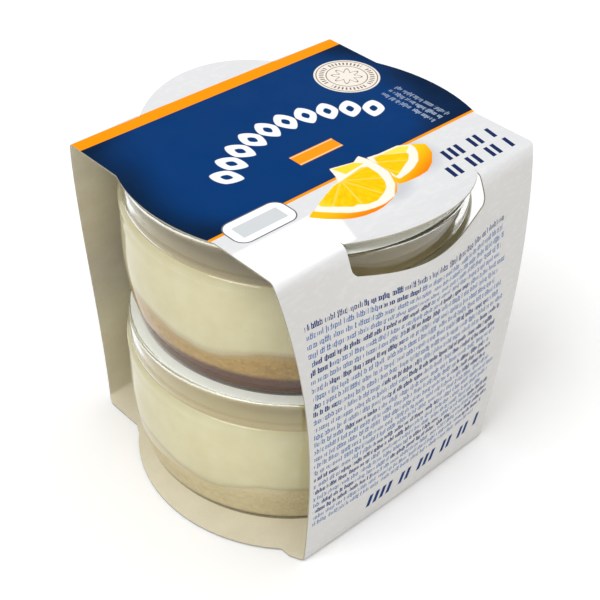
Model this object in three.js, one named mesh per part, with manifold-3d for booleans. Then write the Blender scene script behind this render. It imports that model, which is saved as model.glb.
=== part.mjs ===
import * as THREE from 'three';
import { mergeVertices } from 'three/addons/utils/BufferGeometryUtils.js';
import Module from 'manifold-3d';

// A twin pack of lemon cheesecake desserts: two sealed glass cups, one standing on the
// other, held by an open-ended sleeve of printed board.
// Millimetres, +Z up. X runs through the sleeve's tunnel, its two side panels face -Y and +Y,
// and the origin is on the floor under the middle of the sleeve.

const wasm = await Module();
wasm.setup();

// Board sleeve
const BOARD = 0.5;
const SLEEVE_HEIGHT = 73.2;
const TOP_HALF_LENGTH = 35;
const TOP_HALF_WIDTH = 29;
const TOP_END_RADIUS = 37.75;
const BOTTOM_HALF_LENGTH = 27.9;
const BOTTOM_HALF_WIDTH = 33.2;
const BOTTOM_SHOULDER_HALF_LENGTH = 29.4;
const BOTTOM_CORNER_CUT = 2;
const BOTTOM_END_RADIUS = 34.4;
const BOTTOM_END_CENTRE_X = 4.7;
const BOTTOM_END_CENTRE_Y = -4;

// How far a side panel bellies outward: at its cut ends, the extra in the middle of its length,
// and what the shoulder of the upper cup adds where it presses just under the window
const END_BELLY = 3.5;
const END_BELLY_SKEW = 0.777;
const MIDDLE_BELLY = 2;
const MIDDLE_BELLY_POWER = 0.3;
const PRESS_BELLY = 4.2;
const PRESS_FALL = 0.13;
const PRESS_SPREAD = 0.12;
const PANEL_COLUMNS = 16;
const PANEL_ROWS = 18;

// Window at the top of each side panel, and the tongue of the top panel that hangs over it
const WINDOW_HALF_LENGTH = 18.8;
const WINDOW_SIDE_DEPTH = 4;
const WINDOW_CORNER = 2;
const WINDOW_MIDDLE_DEPTH = 9.8;
const TONGUE_HALF_LENGTH = 18.7;
const TONGUE_REACH = 6.6;
const TONGUE_LIFT = THREE.MathUtils.degToRad(12);
const TONGUE_ROOT = 0.8;

// Glass cup, heights measured from its own foot
const CUP_HEIGHT = 34.9;
const FOOT_RADIUS = 32.3;
const FOOT_RECESS_RADIUS = 29;
const FOOT_RECESS = 0.4;
const HEEL = 0.5;
const BODY_ROUND = 18;
const SHOULDER_RADIUS = 35.15;
const SHOULDER_HEIGHT = 26.6;
const RIDGE_RADIUS = 35.2;
const RIDGE_TOP = 29.4;
const RIM_RADIUS = 34.7;
const RIM_ROUND = 1;
const MOUTH_RADIUS = 32.4;
const WALL = 2.4;
const FLOOR = 1.3;
const FLOOR_ROUND = 1.6;
const TURNS = 48;
const BODY_STEPS = 6;

// Filling, heights measured from the cup's foot; the border between crumb and cream is uneven
const CREAM_HEIGHT = 27.3;
const CRUMB_WAVES = [
	{ height: 0.9, lobes: 4, turn: 3.87 },
	{ height: 0.8, lobes: 7, turn: 6.02 },
	{ height: 0.15, lobes: 11, turn: 4 },
];

// Sealing lid
const LID_THICKNESS = 0.3;
const LID_RADIUS = 34.2;

// Stack: the cups stand a little off the middle, towards the open end at -X and the panel at +Y
const CUP_OFFSET_X = -1.5;
const CUP_OFFSET_Y = 0.6;
const REST_GAP = 0.1;
const FILL_GAP = 0.25;
const LOWER_FOOT = BOARD + REST_GAP;
const LID_FOOT = CUP_HEIGHT + REST_GAP;
const CUP_PITCH = LID_FOOT + LID_THICKNESS + REST_GAP;
const CUPS = [
	{ name: 'lower', foot: LOWER_FOOT, crumbHeight: 9.2, crumbColour: 0xb59a6a },
	{ name: 'upper', foot: LOWER_FOOT + CUP_PITCH, crumbHeight: 10.2, crumbColour: 0x8a6335 },
];

// Closed triangle mesh with shared corners, without the slivers at the poles of a turned shape
function weld(geometry) {
	const bare = new THREE.BufferGeometry();
	bare.setAttribute('position', geometry.getAttribute('position').clone());
	const index = geometry.getIndex();
	if (index) bare.setIndex(index.clone());
	const merged = mergeVertices(bare, 1e-4);
	const corners = merged.getIndex().array;
	const kept = [];
	for (let i = 0; i < corners.length; i += 3) {
		const [a, b, c] = [corners[i], corners[i + 1], corners[i + 2]];
		if (a !== b && b !== c && c !== a) kept.push(a, b, c);
	}
	merged.setIndex(kept);
	return merged;
}

function toSolid(geometry) {
	const welded = weld(geometry);
	return new wasm.Manifold(new wasm.Mesh({
		numProp: 3,
		vertProperties: new Float32Array(welded.getAttribute('position').array),
		triVerts: new Uint32Array(welded.getIndex().array),
	}));
}

function toGeometry(solid) {
	const mesh = solid.getMesh();
	const geometry = new THREE.BufferGeometry();
	geometry.setAttribute('position', new THREE.BufferAttribute(mesh.vertProperties, 3));
	geometry.setIndex(new THREE.BufferAttribute(mesh.triVerts, 1));
	return geometry;
}

// Solid of revolution about Z from a profile of (radius, height) points
function turned(profile) {
	return weld(new THREE.LatheGeometry(profile, TURNS).rotateX(Math.PI / 2));
}

// Flat sheet of board from an outline in the XY plane, its lower face at the given height
function boardSheet(outline, height) {
	const settings = { depth: BOARD, bevelEnabled: false, curveSegments: 14 };
	return new THREE.ExtrudeGeometry(outline, settings).translate(0, 0, height);
}

// Outline of the top panel: a rectangle whose two ends bow out round the cups
function topOutline() {
	const halfChord = Math.sqrt(TOP_END_RADIUS ** 2 - TOP_HALF_LENGTH ** 2);
	const angle = Math.atan2(halfChord, TOP_HALF_LENGTH);
	const outline = new THREE.Shape();
	outline.moveTo(-TOP_HALF_LENGTH, -TOP_HALF_WIDTH);
	outline.lineTo(TOP_HALF_LENGTH, -TOP_HALF_WIDTH);
	outline.lineTo(TOP_HALF_LENGTH, -halfChord);
	outline.absarc(0, 0, TOP_END_RADIUS, -angle, angle, false);
	outline.lineTo(TOP_HALF_LENGTH, TOP_HALF_WIDTH);
	outline.lineTo(-TOP_HALF_LENGTH, TOP_HALF_WIDTH);
	outline.lineTo(-TOP_HALF_LENGTH, halfChord);
	outline.absarc(0, 0, TOP_END_RADIUS, Math.PI - angle, Math.PI + angle, false);
	outline.closePath();
	return outline;
}

// Outline of the bottom panel: shorter at its folds, with cut corners and wide bowed ends
function bottomOutline() {
	const length = BOTTOM_HALF_LENGTH;
	const shoulder = BOTTOM_SHOULDER_HALF_LENGTH;
	const width = BOTTOM_HALF_WIDTH;
	const cut = width - BOTTOM_CORNER_CUT;
	const [centreX, centreY] = [BOTTOM_END_CENTRE_X, BOTTOM_END_CENTRE_Y];
	const angle = Math.acos((shoulder - centreX) / BOTTOM_END_RADIUS);
	const outline = new THREE.Shape();
	outline.moveTo(-length, -width);
	outline.lineTo(length, -width);
	outline.lineTo(shoulder, -cut);
	outline.absarc(centreX, centreY, BOTTOM_END_RADIUS, -angle, angle, false);
	outline.lineTo(shoulder, cut);
	outline.lineTo(length, width);
	outline.lineTo(-length, width);
	outline.lineTo(-shoulder, cut);
	outline.absarc(-centreX, centreY, BOTTOM_END_RADIUS, Math.PI - angle, Math.PI + angle, false);
	outline.lineTo(-shoulder, -cut);
	outline.closePath();
	return outline;
}

// Half the length of a side panel, from its top fold (fall 0) to its bottom fold (fall 1)
function panelHalfLength(fall) {
	return BOTTOM_HALF_LENGTH + (TOP_HALF_LENGTH - BOTTOM_HALF_LENGTH) * (1 - fall) ** 2;
}

// Outer face of a side panel: its distance from the middle plane; along runs from -1 to 1, and
// lean is how far the cups stand towards this panel
function panelFace(fall, along, lean) {
	const flat = THREE.MathUtils.lerp(TOP_HALF_WIDTH, BOTTOM_HALF_WIDTH, fall);
	const endBelly = END_BELLY * Math.sin(Math.PI * fall ** END_BELLY_SKEW);
	const crown = (4 * fall * (1 - fall)) ** MIDDLE_BELLY_POWER;
	const swell = 1 - along ** 2;
	const press = swell * Math.exp(-(((fall - PRESS_FALL) / PRESS_SPREAD) ** 2));
	const middleBelly = (MIDDLE_BELLY + lean + PRESS_BELLY * press) * crown;
	return flat + endBelly + middleBelly * swell;
}

// Side panel on +Y: a box cut into a grid, finer towards both folds, whose corners are moved onto
// the bellied sheet
function sidePanel(lean) {
	const panel = new THREE.BoxGeometry(2, 1, 1, PANEL_COLUMNS, 1, PANEL_ROWS);
	const corners = panel.getAttribute('position');
	const topEdge = SLEEVE_HEIGHT - BOARD / 2;
	const bottomEdge = BOARD / 2;
	for (let i = 0; i < corners.count; i++) {
		const along = corners.getX(i);
		const fall = (1 - Math.cos(Math.PI * (0.5 - corners.getZ(i)))) / 2;
		const inset = (0.5 - corners.getY(i)) * BOARD;
		const x = along * panelHalfLength(fall);
		const z = THREE.MathUtils.lerp(topEdge, bottomEdge, fall);
		corners.setXYZ(i, x, panelFace(fall, along, lean) - inset, z);
	}
	return toSolid(panel);
}

// Cutter for the window, reaching through one side panel and a little above its fold
function windowCutter() {
	const top = SLEEVE_HEIGHT + BOARD;
	const sides = SLEEVE_HEIGHT - WINDOW_SIDE_DEPTH;
	const cornerFoot = sides - WINDOW_CORNER;
	const cornerEnd = WINDOW_HALF_LENGTH - WINDOW_CORNER;
	const sweepControl = 2 * (SLEEVE_HEIGHT - WINDOW_MIDDLE_DEPTH) - cornerFoot;
	const outline = new THREE.Shape();
	outline.moveTo(-WINDOW_HALF_LENGTH, top);
	outline.lineTo(-WINDOW_HALF_LENGTH, sides);
	outline.quadraticCurveTo(-WINDOW_HALF_LENGTH, cornerFoot + 1, -cornerEnd, cornerFoot);
	outline.quadraticCurveTo(0, sweepControl, cornerEnd, cornerFoot);
	outline.quadraticCurveTo(WINDOW_HALF_LENGTH, cornerFoot + 1, WINDOW_HALF_LENGTH, sides);
	outline.lineTo(WINDOW_HALF_LENGTH, top);
	outline.closePath();
	const reach = BOTTOM_HALF_WIDTH;
	const settings = { depth: reach, bevelEnabled: false, curveSegments: 8 };
	const cutter = new THREE.ExtrudeGeometry(outline, settings);
	// The outline's height becomes Z and its extrusion runs along -Y, from far outside
	cutter.rotateX(Math.PI / 2).translate(0, TOP_HALF_WIDTH + reach - 3, 0);
	return toSolid(cutter);
}

// Tongue on the +Y fold, lifted a little by the rim of the cup under it
function tongue() {
	const sag = (TONGUE_HALF_LENGTH ** 2 + TONGUE_REACH ** 2) / (2 * TONGUE_REACH);
	const centre = TONGUE_REACH - sag;
	const angle = Math.atan2(-centre, TONGUE_HALF_LENGTH);
	const outline = new THREE.Shape();
	outline.moveTo(-TONGUE_HALF_LENGTH, -TONGUE_ROOT);
	outline.lineTo(TONGUE_HALF_LENGTH, -TONGUE_ROOT);
	outline.absarc(0, centre, sag, angle, Math.PI - angle, false);
	outline.closePath();
	const sheet = boardSheet(outline, -BOARD);
	sheet.rotateX(TONGUE_LIFT).translate(0, TOP_HALF_WIDTH, SLEEVE_HEIGHT);
	return toSolid(sheet);
}

function sleeve() {
	let body = toSolid(boardSheet(topOutline(), SLEEVE_HEIGHT - BOARD));
	body = body.add(toSolid(boardSheet(bottomOutline(), 0)));
	const cutter = windowCutter();
	const flap = tongue();
	const backSide = sidePanel(CUP_OFFSET_Y).subtract(cutter).add(flap);
	const frontSide = sidePanel(-CUP_OFFSET_Y).subtract(cutter).add(flap).rotate([0, 0, 180]);
	return toGeometry(body.add(backSide).add(frontSide));
}

// Outer radius of the cup's wall below its ridge: rounded up from the foot, then straight
function bodyRadius(height) {
	const rise = Math.min(height / BODY_ROUND, 1);
	return FOOT_RADIUS + (SHOULDER_RADIUS - FOOT_RADIUS) * (1 - (1 - rise) ** 2);
}

// Radius of the cup's hollow, rounded where the wall meets the floor
function hollowRadius(height) {
	const rise = Math.min(Math.max((height - FLOOR) / FLOOR_ROUND, 0), 1);
	return bodyRadius(height) - WALL - FLOOR_ROUND * (1 - Math.sqrt(1 - (1 - rise) ** 2));
}

// Points up a wall of the given radius rule, crowded towards the lower end
function wallPoints(radiusAt, low, high, steps, crowding = 1) {
	const points = [];
	for (let i = 0; i <= steps; i++) {
		const height = THREE.MathUtils.lerp(low, high, (i / steps) ** crowding);
		points.push(new THREE.Vector2(radiusAt(height), height));
	}
	return points;
}

// Rim: a soft ridge, a plain band above it and a rounded top edge
function rimPoints() {
	const rim = new THREE.Path();
	rim.moveTo(SHOULDER_RADIUS, SHOULDER_HEIGHT);
	rim.bezierCurveTo(
		RIDGE_RADIUS + 0.3, SHOULDER_HEIGHT + 0.8, RIDGE_RADIUS + 0.3, RIDGE_TOP - 0.6,
		RIM_RADIUS + 0.2, RIDGE_TOP + 1,
	);
	rim.lineTo(RIM_RADIUS, CUP_HEIGHT - RIM_ROUND);
	rim.quadraticCurveTo(RIM_RADIUS, CUP_HEIGHT, RIM_RADIUS - RIM_ROUND, CUP_HEIGHT);
	rim.lineTo(MOUTH_RADIUS + RIM_ROUND, CUP_HEIGHT);
	rim.quadraticCurveTo(MOUTH_RADIUS, CUP_HEIGHT, MOUTH_RADIUS, CUP_HEIGHT - RIM_ROUND);
	return rim.getPoints(4);
}

function cupGlass() {
	const profile = [
		new THREE.Vector2(0, FOOT_RECESS),
		new THREE.Vector2(FOOT_RECESS_RADIUS, FOOT_RECESS),
		new THREE.Vector2(FOOT_RECESS_RADIUS + HEEL, 0),
		new THREE.Vector2(FOOT_RADIUS - HEEL, 0),
		...wallPoints(bodyRadius, HEEL, BODY_ROUND, BODY_STEPS),
		...rimPoints(),
		...wallPoints(hollowRadius, FLOOR, SHOULDER_HEIGHT, BODY_STEPS + 3, 2).reverse(),
		new THREE.Vector2(0, FLOOR),
	];
	return turned(profile);
}

// Height that the uneven border between crumb and cream adds at the wall
function crumbWave(turn) {
	return CRUMB_WAVES.reduce((sum, w) => sum + w.height * Math.sin(w.lobes * turn + w.turn), 0);
}

// Layer of filling between two heights; the edge of its face at borderHeight rises and falls
// along the wall
function fillingLayer(low, high, steps, crowding, borderHeight) {
	const wallAt = (height) => hollowRadius(height - FILL_GAP) - FILL_GAP;
	const wall = wallPoints(wallAt, low, high, steps, crowding);
	const layer = turned([new THREE.Vector2(0, low), ...wall, new THREE.Vector2(0, high)]);
	const corners = layer.getAttribute('position');
	for (let i = 0; i < corners.count; i++) {
		const [x, y] = [corners.getX(i), corners.getY(i)];
		const isMiddle = Math.hypot(x, y) < 1;
		if (isMiddle || Math.abs(corners.getZ(i) - borderHeight) > 1e-3) continue;
		const height = borderHeight + crumbWave(Math.atan2(y, x));
		const spread = wallAt(height) / wallAt(borderHeight);
		corners.setXYZ(i, x * spread, y * spread, height);
	}
	return layer;
}

function crumbLayer(crumbHeight) {
	return fillingLayer(FLOOR + FILL_GAP, crumbHeight, 6, 2, crumbHeight);
}

function creamLayer(crumbHeight) {
	const low = crumbHeight + FILL_GAP;
	return fillingLayer(low, CREAM_HEIGHT, 4, 1, low);
}

function lid() {
	return turned([
		new THREE.Vector2(0, 0),
		new THREE.Vector2(LID_RADIUS, 0),
		new THREE.Vector2(LID_RADIUS, LID_THICKNESS),
		new THREE.Vector2(0, LID_THICKNESS),
	]);
}

function named(name, geometry, finish) {
	geometry.computeVertexNormals();
	const mesh = new THREE.Mesh(geometry, new THREE.MeshStandardMaterial({ flatShading: true, ...finish }));
	mesh.name = name;
	return mesh;
}

function cup({ name, foot, crumbHeight, crumbColour }) {
	const group = new THREE.Group();
	const glassFinish = { color: 0xd9e6dc, roughness: 0.03, metalness: 0, transparent: true, opacity: 0.35 };
	const lidFinish = { color: 0xe9ede6, roughness: 0.3, metalness: 0 };
	const seal = named(`lid_${name}`, lid(), lidFinish);
	seal.position.z = LID_FOOT;
	group.add(
		named(`glass_${name}`, cupGlass(), glassFinish),
		named(`crumb_${name}`, crumbLayer(crumbHeight), { color: crumbColour, roughness: 0.9, metalness: 0 }),
		named(`cream_${name}`, creamLayer(crumbHeight), { color: 0xddd5ac, roughness: 0.5, metalness: 0 }),
		seal,
	);
	group.position.set(CUP_OFFSET_X, CUP_OFFSET_Y, foot);
	return group;
}

const group = new THREE.Group();
group.add(named('sleeve', sleeve(), { color: 0xe6e4e2, roughness: 0.6, metalness: 0 }));
for (const place of CUPS) group.add(cup(place));

export default group;
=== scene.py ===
"""Cheesecake cup pack: the looks of its printed board sleeve, glass cups and fillings."""
import logging
import math
from dataclasses import dataclass
from enum import Enum
from functools import partialmethod
from itertools import pairwise
from typing import Union

import bpy
from mathutils import Matrix, Vector


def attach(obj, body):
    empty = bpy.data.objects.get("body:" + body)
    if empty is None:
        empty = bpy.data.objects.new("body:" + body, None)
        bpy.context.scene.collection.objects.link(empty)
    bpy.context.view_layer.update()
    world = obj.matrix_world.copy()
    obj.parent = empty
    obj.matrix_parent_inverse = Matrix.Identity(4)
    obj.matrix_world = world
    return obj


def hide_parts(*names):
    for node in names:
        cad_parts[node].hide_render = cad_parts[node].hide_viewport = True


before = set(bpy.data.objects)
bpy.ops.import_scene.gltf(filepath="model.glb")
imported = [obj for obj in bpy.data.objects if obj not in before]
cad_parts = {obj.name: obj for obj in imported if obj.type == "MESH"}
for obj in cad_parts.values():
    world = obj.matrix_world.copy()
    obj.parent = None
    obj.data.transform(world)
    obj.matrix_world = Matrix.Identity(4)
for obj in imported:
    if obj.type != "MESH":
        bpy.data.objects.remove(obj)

LOG = logging.getLogger("cheesecake_cup_pack")
MM = 0.001
BODY = "root"
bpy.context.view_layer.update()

Point = tuple[float, float]
Colour = tuple[float, float, float, float]
Material = bpy.types.Material
Group = bpy.types.NodeTree


def paint(red: float, green: float, blue: float) -> Colour:
    """Turn a colour as seen on a screen, 0 to 255, into linear light.

    Args:
        red: Red share.
        green: Green share.
        blue: Blue share.

    Returns:
        The linear colour with full alpha.
    """
    shares = [value / 255 for value in (red, green, blue)]
    linear = [s / 12.92 if s <= 0.04045 else ((s + 0.055) / 1.055) ** 2.4 for s in shares]
    return (*linear, 1.0)


def lerp(start: float, end: float, share: float) -> float:
    """Go a share of the way from start to end."""
    return start + (end - start) * share


def smooth(value: float, low: float, high: float) -> float:
    """Rise gently from 0 at low to 1 at high."""
    share = min(max((value - low) / (high - low), 0.0), 1.0)
    return share * share * (3 - 2 * share)


class Wire:
    """What one node gives out, on which sums can be done."""

    def __init__(self, sketch: "Sketch", socket: bpy.types.NodeSocket) -> None:
        """Keep the sketch and the socket."""
        self.sketch, self.socket = sketch, socket

    def work(self, operation: str, *values: "Value") -> "Wire":
        """Do one of Blender's sums on this and other values."""
        return self.sketch.sum(operation, self, *values)

    def behind(self, operation: str, value: "Value") -> "Wire":
        """Do a sum that has this as its second value."""
        return self.sketch.sum(operation, value, self)

    __add__ = partialmethod(work, "ADD")
    __sub__ = partialmethod(work, "SUBTRACT")
    __rsub__ = partialmethod(behind, "SUBTRACT")
    __mul__ = partialmethod(work, "MULTIPLY")
    __truediv__ = partialmethod(work, "DIVIDE")
    __pow__ = partialmethod(work, "POWER")
    __abs__ = partialmethod(work, "ABSOLUTE")
    __gt__ = partialmethod(work, "GREATER_THAN")
    __lt__ = partialmethod(work, "LESS_THAN")
    floor = partialmethod(work, "FLOOR")
    fract = partialmethod(work, "FRACT")
    largest = partialmethod(work, "MAXIMUM")
    smallest = partialmethod(work, "MINIMUM")

    def ramp(self, low: float, high: float, start: float = 0.0, end: float = 1.0,
             gentle: bool = False) -> "Wire":
        """Map this from one range to another, held at both ends.

        Args:
            low: Value that gives start.
            high: Value that gives end.
            start: Result at low.
            end: Result at high.
            gentle: True for a smooth rise in place of a straight one.

        Returns:
            The result.
        """
        kind = "SMOOTHSTEP" if gentle else "LINEAR"
        node = self.sketch.node("MapRange", self, low, high, start, end, interpolation_type=kind)
        return self.sketch.out(node)

    def mix(self, base: "Value", over: "Value") -> "Wire":
        """Lay one colour over another where this is 1."""
        node = self.sketch.node("Mix", self, data_type="RGBA")
        self.sketch.feed(node.inputs[6], base)
        self.sketch.feed(node.inputs[7], over)
        return self.sketch.out(node, 2)

    def band(self, low: float, high: float) -> "Wire":
        """Distance to a band between two values, below 0 inside it."""
        return abs(self - (low + high) / 2) - (high - low) / 2

    def fill(self, soft: float = 0.06) -> "Wire":
        """Mask of a shape, where this is the distance to its edge."""
        return self.ramp(-soft, soft, 1.0, 0.0)

    def hypot(self, other: "Wire") -> "Wire":
        """Length of the flat vector of this and another."""
        node = self.sketch.node("VectorMath", self.sketch.join(self, other), operation="LENGTH")
        return self.sketch.out(node, "Value")

    def split(self) -> list["Wire"]:
        """Take a vector's three numbers apart."""
        return list(self.sketch.give(self.sketch.node("SeparateXYZ", self)).values())

    def stretch(self, x: float, y: float, z: float) -> "Wire":
        """Scale a vector by a different number on each axis."""
        return self.sketch.out(self.sketch.node("VectorMath", self, (x, y, z), operation="MULTIPLY"))

    def noise(self, scale: float, detail: float = 2.0, rough: float = 0.5) -> "Wire":
        """Return a cloudy value of about 0.5, read at this point.

        Args:
            scale: Waves a millimetre.
            detail: Number of finer layers.
            rough: Weight of each finer layer.

        Returns:
            The value.
        """
        node = self.sketch.node("TexNoise")
        self.sketch.give(node, Vector=self, Scale=scale, Detail=detail, Roughness=rough)
        return self.sketch.out(node)

    def cells(self, scale: float) -> dict[str, "Wire"]:
        """Distance to the nearest of many scattered spots, and that spot's own colour."""
        return self.sketch.give(self.sketch.node("TexVoronoi"), Vector=self, Scale=scale)


Value = Union[float, tuple, Wire]


class Sketch:
    """Adds nodes to one node tree and joins them."""

    def __init__(self, tree: Group) -> None:
        """Keep the tree that the nodes go into."""
        self.tree = tree

    def node(self, kind: str, *values: Value, **settings: object) -> bpy.types.Node:
        """Add one node.

        Args:
            kind: Blender's name of the node type, after "ShaderNode".
            *values: What goes into its first inputs.
            **settings: Properties to set on it.

        Returns:
            The new node.
        """
        node = self.tree.nodes.new(f"ShaderNode{kind}")
        for name, setting in settings.items():
            setattr(node, name, setting)
        for socket, value in zip(node.inputs, values):
            self.feed(socket, value)
        return node

    def feed(self, socket: bpy.types.NodeSocket, value: Value) -> None:
        """Link a wire to an input, or set the input to a number."""
        if isinstance(value, Wire):
            self.tree.links.new(value.socket, socket)
        else:
            socket.default_value = value

    def give(self, node: bpy.types.Node, **values: Value) -> dict[str, Wire]:
        """Feed a node's inputs by name, with _ for a space, and return its outputs by name."""
        for name, value in values.items():
            self.feed(node.inputs[name.replace("_", " ")], value)
        return {port.name: Wire(self, port) for port in node.outputs}

    def out(self, node: bpy.types.Node, port: Union[int, str] = 0) -> Wire:
        """Return one output of a node."""
        return Wire(self, node.outputs[port])

    def sum(self, operation: str, *values: Value) -> Wire:
        """Do one of Blender's sums."""
        return self.out(self.node("Math", *values, operation=operation))

    def join(self, x: Value, y: Value, z: Value = 0.0) -> Wire:
        """Make a vector of three numbers."""
        return self.out(self.node("CombineXYZ", x, y, z))

    def place(self) -> Wire:
        """Return the point on the object, in millimetres."""
        spot = self.out(self.node("TexCoord"), "Object")
        scale = self.node("VectorMath", spot, operation="SCALE")
        return self.give(scale, Scale=1 / MM)["Vector"]

    def rise(self) -> Wire:
        """Return how far above the line between crumb and cream a point is, in millimetres."""
        return self.out(self.node("Attribute", attribute_name="rise"), "Fac")

    def chance(self, x: Value, y: Value, z: Value = 0.0) -> list[Wire]:
        """Return three random numbers that are fixed for each point."""
        node = self.node("TexWhiteNoise", self.join(x, y, z), noise_dimensions="3D")
        return self.out(node, "Color").split()

    def use(self, group: Group, **values: Value) -> dict[str, Wire]:
        """Place a node group, feed its inputs by name and return its outputs by name."""
        return self.give(self.node("Group", node_tree=group), **values)

    def bump(self, height: Wire, strength: float, depth: float) -> Wire:
        """Return the direction of a surface roughened by a height, a depth in millimetres deep."""
        return self.give(self.node("Bump"), Strength=strength, Distance=depth * MM, Height=height)["Normal"]


def group_of(name: str, inputs: dict[str, str], outputs: dict[str, str]
             ) -> tuple[Sketch, dict[str, Wire], bpy.types.Node]:
    """Start a shader node group.

    Args:
        name: The group's name.
        inputs: Socket type by input name.
        outputs: Socket type by output name.

    Returns:
        A sketch of the group, its inputs by name and its output node.
    """
    tree = bpy.data.node_groups.new(name, "ShaderNodeTree")
    for way, sockets in (("INPUT", inputs), ("OUTPUT", outputs)):
        for label, kind in sockets.items():
            tree.interface.new_socket(name=label, in_out=way, socket_type=f"NodeSocket{kind}")
    sketch = Sketch(tree)
    given = sketch.give(tree.nodes.new("NodeGroupInput"))
    return sketch, given, tree.nodes.new("NodeGroupOutput")


def plaster_group() -> Group:
    """Build the troweled look of the white print: long strokes, pits and fine grain."""
    sketch, given, result = group_of(
        "plaster_look", {"Vector": "Vector"}, {"Tone": "Float", "Height": "Float"})
    point = given["Vector"]
    strokes = point.stretch(0.5, 1.0, 1.6).noise(0.8, 5.0, 0.62)
    pits = point.stretch(1.0, 1.0, 1.7).noise(2.3, 3.0, 0.6)
    ridges = strokes.ramp(0.5, 0.62, gentle=True)
    hollows = pits.ramp(0.56, 0.68, gentle=True)
    sketch.give(result, Tone=ridges - hollows * 0.8, Height=strokes + pits * 0.4)
    return sketch.tree


def rows_group() -> Group:
    """Build rows of little upright strokes that stand in for print, with gaps between clumps."""
    names = ("Along", "Down", "Pitch", "Stroke", "Seed")
    sketch, given, result = group_of(
        "stroke_rows", dict.fromkeys(names, "Float"), dict.fromkeys(("Mask", "Bold", "Row"), "Float"))
    along, down, pitch, stroke, seed = (given[name] for name in names)
    rows, strokes = down / pitch, along / stroke
    row, within = rows.floor(), rows.fract()
    first, second, third = sketch.chance(strokes.floor(), row, seed)
    shift, drift, _ = sketch.chance(row, seed, 7.0)
    near = (strokes / 7.3 + shift).fract()
    far = (strokes / 11.7 + drift).fract()
    words = (near > 0.13) * (far > 0.07)
    clump = (strokes / 23.4 + shift).floor()
    bold = sketch.chance(clump, row, 3.0)[0] > 0.74
    upright = strokes.fract() < bold * 0.2 + 0.5
    top = 0.36 - (first > 0.66) * 0.22
    foot = (second > 0.86) * 0.16 + 0.76
    tall = (within > top) * (within < foot)
    rungs = (within - 0.36).work("PINGPONG", 0.2)
    rung = (third > 0.55) * (rungs < 0.05) * (within > 0.33) * (within < 0.79)
    sketch.give(result, Mask=(upright * tall).largest(rung) * words, Bold=bold, Row=row)
    return sketch.tree


def grain_group() -> Group:
    """Build a fine grain with softer clouds under it, for board, cream and crumb."""
    sketch, given, result = group_of(
        "fine_grain", {"Vector": "Vector"}, {"Fine": "Float", "Cloud": "Float"})
    point = given["Vector"]
    sketch.give(result, Fine=point.noise(2.6, 3.0, 0.6), Cloud=point.noise(0.16, 3.0, 0.55))
    return sketch.tree


def material_of(name: str) -> tuple[Material, Sketch, bpy.types.Node]:
    """Start a material, and return it with a sketch of its nodes and its Principled shader."""
    material = bpy.data.materials.new(name)
    material.use_nodes = True
    return material, Sketch(material.node_tree), material.node_tree.nodes["Principled BSDF"]


def polar(x: Wire, y: Wire, middle: Point) -> tuple[Wire, Wire]:
    """Distance and direction of a point, seen from a middle."""
    dx, dy = x - middle[0], y - middle[1]
    return dx.hypot(dy), dy.work("ARCTAN2", dx)


def bars(along: Wire, up: Wire, spans: tuple[Point, ...], tall: float) -> Wire:
    """Mask of groups of thick slanted bars.

    Args:
        along: The point's place along the row.
        up: The point's height over the row's foot.
        spans: Where each group starts and ends.
        tall: Height of the bars.

    Returns:
        The mask.
    """
    lean = along - up * 0.2
    near = lean.band(*spans[0])
    for span in spans[1:]:
        near = near.smallest(lean.band(*span))
    gate = (lean / 1.9).fract() < 0.56
    return near.largest(up.band(0.0, tall)).fill() * gate


@dataclass(frozen=True)
class Outline:
    """A flat shape on the top panel, seen whole from its middle, in millimetres."""

    middle: Point
    corners: tuple[Point, ...]

    def reach(self, angle: float) -> float:
        """Distance from the middle to the edge.

        Args:
            angle: Direction, in radians.

        Returns:
            The distance in millimetres.
        """
        way = Vector((math.cos(angle), math.sin(angle)))
        best = 0.0
        ring = [Vector(c) - Vector(self.middle) for c in self.corners]
        for start, end in pairwise(ring + ring[:1]):
            edge = end - start
            turn = way.x * edge.y - way.y * edge.x
            if abs(turn) < 1e-9:
                continue
            far = (start.x * edge.y - start.y * edge.x) / turn
            share = (start.x * way.y - start.y * way.x) / turn
            if -1e-6 <= share <= 1 + 1e-6:
                best = max(best, far)
        return best

    def distance(self, x: Wire, y: Wire) -> Wire:
        """Distance from a point to the shape's edge, below 0 inside it.

        Args:
            x: The point's place along the panel.
            y: The point's place across it.

        Returns:
            The distance.
        """
        angles = {math.tau * k / 36 - math.pi for k in range(37)}
        for corner in self.corners:
            angles.add(math.atan2(corner[1] - self.middle[1], corner[0] - self.middle[0]))
        radii = {angle: self.reach(angle) for angle in sorted(angles)}
        largest = max(radii.values())
        curve = x.sketch.node("FloatCurve")
        points = curve.mapping.curves[0].points
        spots = [(angle / math.tau + 0.5, radius / largest) for angle, radius in radii.items()]
        points[0].location = spots[0]
        points[1].location = spots[-1]
        for spot in spots[1:-1]:
            points.new(*spot)
        for point in points:
            point.handle_type = "VECTOR"
        curve.mapping.update()
        far, turn = polar(x, y, self.middle)
        x.sketch.give(curve, Value=turn / math.tau + 0.5)
        return far - x.sketch.out(curve) * largest


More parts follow.
